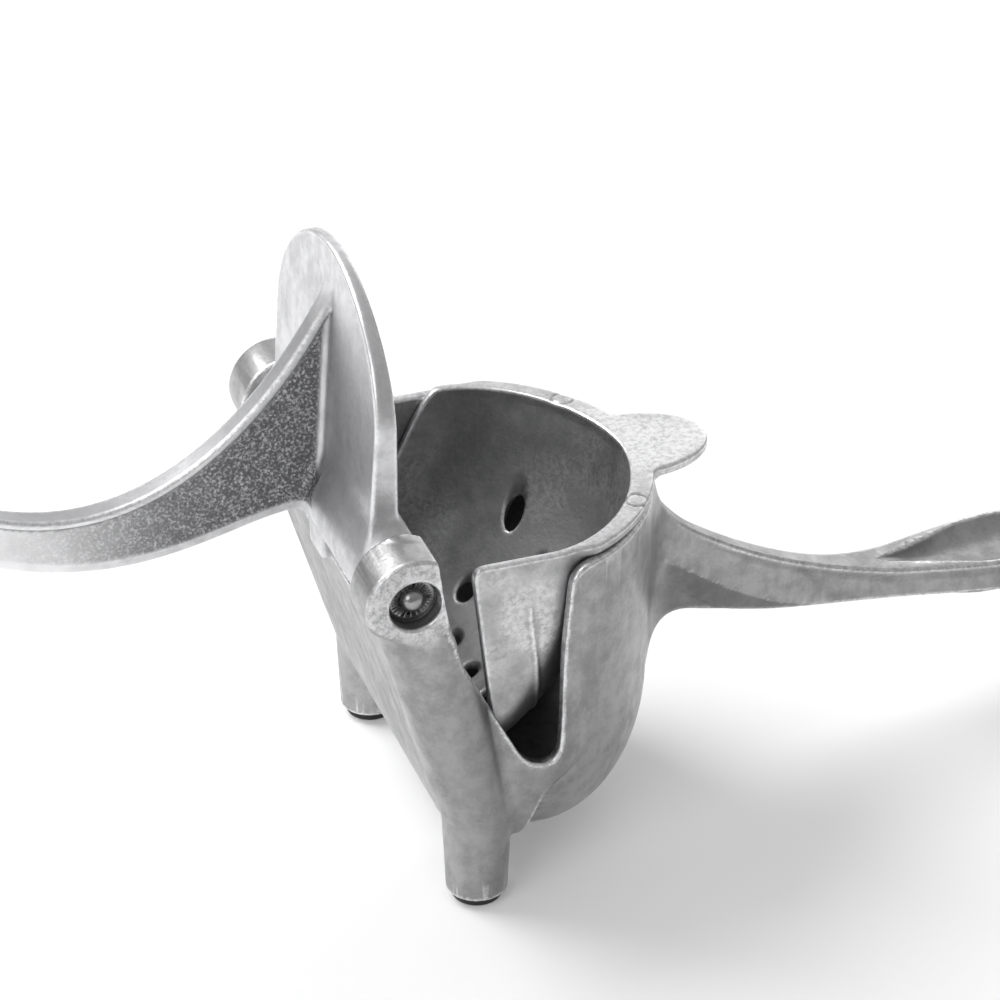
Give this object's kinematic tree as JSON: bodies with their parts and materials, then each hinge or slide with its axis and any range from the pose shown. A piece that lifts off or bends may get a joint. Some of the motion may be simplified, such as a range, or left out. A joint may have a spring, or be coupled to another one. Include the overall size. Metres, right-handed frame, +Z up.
{
  "type": "hinged lemon squeezer",
  "caption": "Hinged cast hand press for citrus: a spouted bowl on legs with a long handle, a swinging press plate lever on a pin, and a lift-out strainer scoop.",
  "frame": {"origin": "on the table, straight below the middle of the hinge axis, which is halfway between the two handle tips", "axes": "+X runs from the hinge to the bowl handle, +Y along the hinge axis away from the pouring notch, +Z up from the table"},
  "size_m": [0.396, 0.088, 0.1491],
  "materials": {
    "bowl_casting": "tumbled casting",
    "lever_casting": "tumbled casting",
    "strainer_casting": "satin casting",
    "pin_steel": "turned",
    "pad_rubber": "moulded"
  },
  "bodies": {
    "base": {"bowl": "bowl_casting", "hinge_pin": "pin_steel", "foot_pad_near": "pad_rubber", "foot_pad_far": "pad_rubber"},
    "lever": {"press_lever": "lever_casting"},
    "strainer": {"strainer": "strainer_casting"}
  },
  "joints": [
    {"name": "lever_hinge", "type": "hinge", "parent": "base", "child": "lever", "pos_m": [0, 0, 0.075], "axis": [0, 1, 0], "range_deg": [0, 159]},
    {"name": "strainer_lift", "type": "slide", "parent": "base", "child": "strainer", "axis": [0, 0, 1], "range_m": [0, 0.13]}
  ]
}
